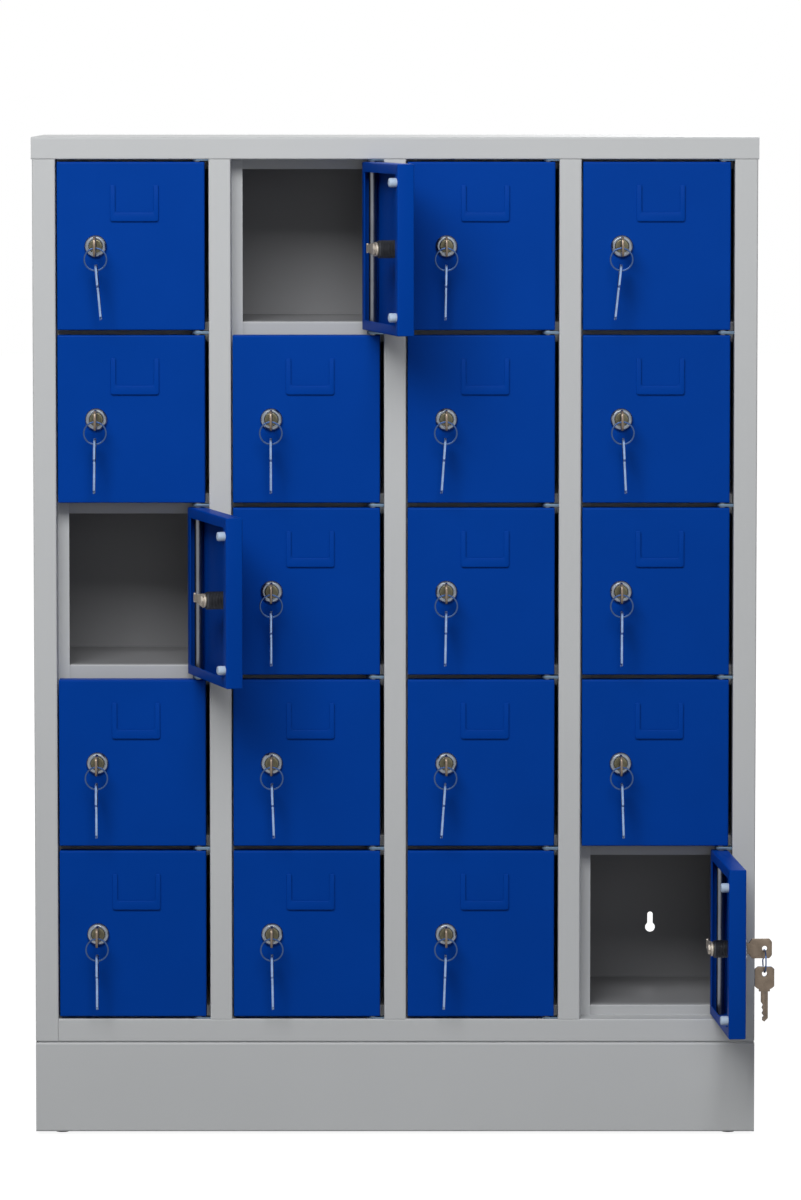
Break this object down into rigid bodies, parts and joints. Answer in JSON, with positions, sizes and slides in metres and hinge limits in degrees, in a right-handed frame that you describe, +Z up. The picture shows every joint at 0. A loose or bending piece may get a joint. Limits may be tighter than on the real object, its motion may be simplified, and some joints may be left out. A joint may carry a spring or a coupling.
{
  "type": "mobile phone locker",
  "caption": "Free-standing sheet-steel locker for phones on a plinth, with small hinged key-lock doors on a common frame, some of them standing open.",
  "frame": {"origin": "on the floor, at the middle of the plinth's footprint", "axes": "+X to the viewer's right, +Y from the doors to the back, +Z up"},
  "size_m": [0.7345, 0.3323, 1],
  "materials": {
    "body_paint": "light grey semi-gloss powder coat",
    "door_paint": "blue semi-gloss powder coat",
    "zinc": "bright zinc plate",
    "lock_metal": "nickel-plated, slightly worn",
    "foot_plastic": "matt black plastic"
  },
  "bodies": {
    "cabinet": {"lid": "body_paint", "left_side_panel": "body_paint", "right_side_panel": "body_paint", "back_panel": "body_paint", "base_plate": "body_paint", "bottom_rail": "body_paint", "floor_panel": "body_paint", "mid_posts": "body_paint", "partitions": "body_paint", "shelves": "body_paint", "hinge_rods": "zinc", "hinge_tabs": "zinc", "plinth_front": "body_paint", "plinth_rear": "body_paint", "plinth_ends": "body_paint", "plinth_frame": "body_paint", "levelling_feet": "foot_plastic", "foot_nuts": "zinc", "cabinet_bolts": "zinc", "cabinet_nuts": "zinc"},
    "door_r1c1": {"door_r1c1": "door_paint"},
    "lock_r1c1": {"lock_r1c1": "lock_metal"},
    "door_r1c2": {"door_r1c2": "door_paint"},
    "lock_r1c2": {"lock_r1c2": "lock_metal"},
    "door_r1c3": {"door_r1c3": "door_paint"},
    "lock_r1c3": {"lock_r1c3": "lock_metal"},
    "door_r1c4": {"door_r1c4": "door_paint"},
    "lock_r1c4": {"lock_r1c4": "lock_metal"},
    "door_r2c1": {"door_r2c1": "door_paint"},
    "lock_r2c1": {"lock_r2c1": "lock_metal"},
    "door_r2c2": {"door_r2c2": "door_paint"},
    "lock_r2c2": {"lock_r2c2": "lock_metal"},
    "door_r2c3": {"door_r2c3": "door_paint"},
    "lock_r2c3": {"lock_r2c3": "lock_metal"},
    "door_r2c4": {"door_r2c4": "door_paint"},
    "lock_r2c4": {"lock_r2c4": "lock_metal"},
    "door_r3c1": {"door_r3c1": "door_paint"},
    "lock_r3c1": {"lock_r3c1": "lock_metal"},
    "door_r3c2": {"door_r3c2": "door_paint"},
    "lock_r3c2": {"lock_r3c2": "lock_metal"},
    "door_r3c3": {"door_r3c3": "door_paint"},
    "lock_r3c3": {"lock_r3c3": "lock_metal"},
    "door_r3c4": {"door_r3c4": "door_paint"},
    "lock_r3c4": {"lock_r3c4": "lock_metal"},
    "door_r4c1": {"door_r4c1": "door_paint"},
    "lock_r4c1": {"lock_r4c1": "lock_metal"},
    "door_r4c2": {"door_r4c2": "door_paint"},
    "lock_r4c2": {"lock_r4c2": "lock_metal"},
    "door_r4c3": {"door_r4c3": "door_paint"},
    "lock_r4c3": {"lock_r4c3": "lock_metal"},
    "door_r4c4": {"door_r4c4": "door_paint"},
    "lock_r4c4": {"lock_r4c4": "lock_metal"},
    "door_r5c1": {"door_r5c1": "door_paint"},
    "lock_r5c1": {"lock_r5c1": "lock_metal"},
    "door_r5c2": {"door_r5c2": "door_paint"},
    "lock_r5c2": {"lock_r5c2": "lock_metal"},
    "door_r5c3": {"door_r5c3": "door_paint"},
    "lock_r5c3": {"lock_r5c3": "lock_metal"},
    "door_r5c4": {"door_r5c4": "door_paint"},
    "lock_r5c4": {"lock_r5c4": "lock_metal"}
  },
  "joints": [
    {"name": "hinge_r1c1", "type": "hinge", "parent": "cabinet", "child": "door_r1c1", "pos_m": [-0.196, -0.0925, 0.892], "axis": [0, 0, 1], "range_deg": [0, 110]},
    {"name": "hinge_r1c2", "type": "hinge", "parent": "cabinet", "child": "door_r1c2", "pos_m": [-0.022, -0.0925, 0.892], "axis": [0, 0, 1], "range_deg": [-104, 6]},
    {"name": "hinge_r1c3", "type": "hinge", "parent": "cabinet", "child": "door_r1c3", "pos_m": [0.152, -0.0925, 0.892], "axis": [0, 0, 1], "range_deg": [0, 110]},
    {"name": "hinge_r1c4", "type": "hinge", "parent": "cabinet", "child": "door_r1c4", "pos_m": [0.326, -0.0925, 0.892], "axis": [0, 0, 1], "range_deg": [0, 110]},
    {"name": "hinge_r2c1", "type": "hinge", "parent": "cabinet", "child": "door_r2c1", "pos_m": [-0.196, -0.0925, 0.72], "axis": [0, 0, 1], "range_deg": [0, 110]},
    {"name": "hinge_r2c2", "type": "hinge", "parent": "cabinet", "child": "door_r2c2", "pos_m": [-0.022, -0.0925, 0.72], "axis": [0, 0, 1], "range_deg": [0, 110]},
    {"name": "hinge_r2c3", "type": "hinge", "parent": "cabinet", "child": "door_r2c3", "pos_m": [0.152, -0.0925, 0.72], "axis": [0, 0, 1], "range_deg": [0, 110]},
    {"name": "hinge_r2c4", "type": "hinge", "parent": "cabinet", "child": "door_r2c4", "pos_m": [0.326, -0.0925, 0.72], "axis": [0, 0, 1], "range_deg": [0, 110]},
    {"name": "hinge_r3c1", "type": "hinge", "parent": "cabinet", "child": "door_r3c1", "pos_m": [-0.196, -0.0925, 0.548], "axis": [0, 0, 1], "range_deg": [-107, 3]},
    {"name": "hinge_r3c2", "type": "hinge", "parent": "cabinet", "child": "door_r3c2", "pos_m": [-0.022, -0.0925, 0.548], "axis": [0, 0, 1], "range_deg": [0, 110]},
    {"name": "hinge_r3c3", "type": "hinge", "parent": "cabinet", "child": "door_r3c3", "pos_m": [0.152, -0.0925, 0.548], "axis": [0, 0, 1], "range_deg": [0, 110]},
    {"name": "hinge_r3c4", "type": "hinge", "parent": "cabinet", "child": "door_r3c4", "pos_m": [0.326, -0.0925, 0.548], "axis": [0, 0, 1], "range_deg": [0, 110]},
    {"name": "hinge_r4c1", "type": "hinge", "parent": "cabinet", "child": "door_r4c1", "pos_m": [-0.196, -0.0925, 0.376], "axis": [0, 0, 1], "range_deg": [0, 110]},
    {"name": "hinge_r4c2", "type": "hinge", "parent": "cabinet", "child": "door_r4c2", "pos_m": [-0.022, -0.0925, 0.376], "axis": [0, 0, 1], "range_deg": [0, 110]},
    {"name": "hinge_r4c3", "type": "hinge", "parent": "cabinet", "child": "door_r4c3", "pos_m": [0.152, -0.0925, 0.376], "axis": [0, 0, 1], "range_deg": [0, 110]},
    {"name": "hinge_r4c4", "type": "hinge", "parent": "cabinet", "child": "door_r4c4", "pos_m": [0.326, -0.0925, 0.376], "axis": [0, 0, 1], "range_deg": [0, 110]},
    {"name": "hinge_r5c1", "type": "hinge", "parent": "cabinet", "child": "door_r5c1", "pos_m": [-0.196, -0.0925, 0.204], "axis": [0, 0, 1], "range_deg": [0, 110]},
    {"name": "hinge_r5c2", "type": "hinge", "parent": "cabinet", "child": "door_r5c2", "pos_m": [-0.022, -0.0925, 0.204], "axis": [0, 0, 1], "range_deg": [0, 110]},
    {"name": "hinge_r5c3", "type": "hinge", "parent": "cabinet", "child": "door_r5c3", "pos_m": [0.152, -0.0925, 0.204], "axis": [0, 0, 1], "range_deg": [0, 110]},
    {"name": "hinge_r5c4", "type": "hinge", "parent": "cabinet", "child": "door_r5c4", "pos_m": [0.326, -0.0925, 0.204], "axis": [0, 0, 1], "range_deg": [-94, 16]},
    {"name": "turn_r1c1", "type": "hinge", "parent": "door_r1c1", "child": "lock_r1c1", "pos_m": [-0.297, -0.1, 0.892], "axis": [0, -1, 0], "range_deg": [0, 180]},
    {"name": "turn_r1c2", "type": "hinge", "parent": "door_r1c2", "child": "lock_r1c2", "pos_m": [0.00971, -0.18869, 0.892], "axis": [0.9703, 0.2419, 0], "range_deg": [0, 180]},
    {"name": "turn_r1c3", "type": "hinge", "parent": "door_r1c3", "child": "lock_r1c3", "pos_m": [0.051, -0.1, 0.892], "axis": [0, -1, 0], "range_deg": [0, 180]},
    {"name": "turn_r1c4", "type": "hinge", "parent": "door_r1c4", "child": "lock_r1c4", "pos_m": [0.225, -0.1, 0.892], "axis": [0, -1, 0], "range_deg": [0, 180]},
    {"name": "turn_r2c1", "type": "hinge", "parent": "door_r2c1", "child": "lock_r2c1", "pos_m": [-0.297, -0.1, 0.72], "axis": [0, -1, 0], "range_deg": [0, 180]},
    {"name": "turn_r2c2", "type": "hinge", "parent": "door_r2c2", "child": "lock_r2c2", "pos_m": [-0.123, -0.1, 0.72], "axis": [0, -1, 0], "range_deg": [0, 180]},
    {"name": "turn_r2c3", "type": "hinge", "parent": "door_r2c3", "child": "lock_r2c3", "pos_m": [0.051, -0.1, 0.72], "axis": [0, -1, 0], "range_deg": [0, 180]},
    {"name": "turn_r2c4", "type": "hinge", "parent": "door_r2c4", "child": "lock_r2c4", "pos_m": [0.225, -0.1, 0.72], "axis": [0, -1, 0], "range_deg": [0, 180]},
    {"name": "turn_r3c1", "type": "hinge", "parent": "door_r3c1", "child": "lock_r3c1", "pos_m": [-0.1593, -0.1869, 0.548], "axis": [0.9563, 0.2924, 0], "range_deg": [0, 180]},
    {"name": "turn_r3c2", "type": "hinge", "parent": "door_r3c2", "child": "lock_r3c2", "pos_m": [-0.123, -0.1, 0.548], "axis": [0, -1, 0], "range_deg": [0, 180]},
    {"name": "turn_r3c3", "type": "hinge", "parent": "door_r3c3", "child": "lock_r3c3", "pos_m": [0.051, -0.1, 0.548], "axis": [0, -1, 0], "range_deg": [0, 180]},
    {"name": "turn_r3c4", "type": "hinge", "parent": "door_r3c4", "child": "lock_r3c4", "pos_m": [0.225, -0.1, 0.548], "axis": [0, -1, 0], "range_deg": [0, 180]},
    {"name": "turn_r4c1", "type": "hinge", "parent": "door_r4c1", "child": "lock_r4c1", "pos_m": [-0.297, -0.1, 0.376], "axis": [0, -1, 0], "range_deg": [0, 180]},
    {"name": "turn_r4c2", "type": "hinge", "parent": "door_r4c2", "child": "lock_r4c2", "pos_m": [-0.123, -0.1, 0.376], "axis": [0, -1, 0], "range_deg": [0, 180]},
    {"name": "turn_r4c3", "type": "hinge", "parent": "door_r4c3", "child": "lock_r4c3", "pos_m": [0.051, -0.1, 0.376], "axis": [0, -1, 0], "range_deg": [0, 180]},
    {"name": "turn_r4c4", "type": "hinge", "parent": "door_r4c4", "child": "lock_r4c4", "pos_m": [0.225, -0.1, 0.376], "axis": [0, -1, 0], "range_deg": [0, 180]},
    {"name": "turn_r5c1", "type": "hinge", "parent": "door_r5c1", "child": "lock_r5c1", "pos_m": [-0.297, -0.1, 0.204], "axis": [0, -1, 0], "range_deg": [0, 180]},
    {"name": "turn_r5c2", "type": "hinge", "parent": "door_r5c2", "child": "lock_r5c2", "pos_m": [-0.123, -0.1, 0.204], "axis": [0, -1, 0], "range_deg": [0, 180]},
    {"name": "turn_r5c3", "type": "hinge", "parent": "door_r5c3", "child": "lock_r5c3", "pos_m": [0.051, -0.1, 0.204], "axis": [0, -1, 0], "range_deg": [0, 180]},
    {"name": "turn_r5c4", "type": "hinge", "parent": "door_r5c4", "child": "lock_r5c4", "pos_m": [0.34053, -0.19273, 0.204], "axis": [0.9976, 0.0698, 0], "range_deg": [0, 180]}
  ]
}
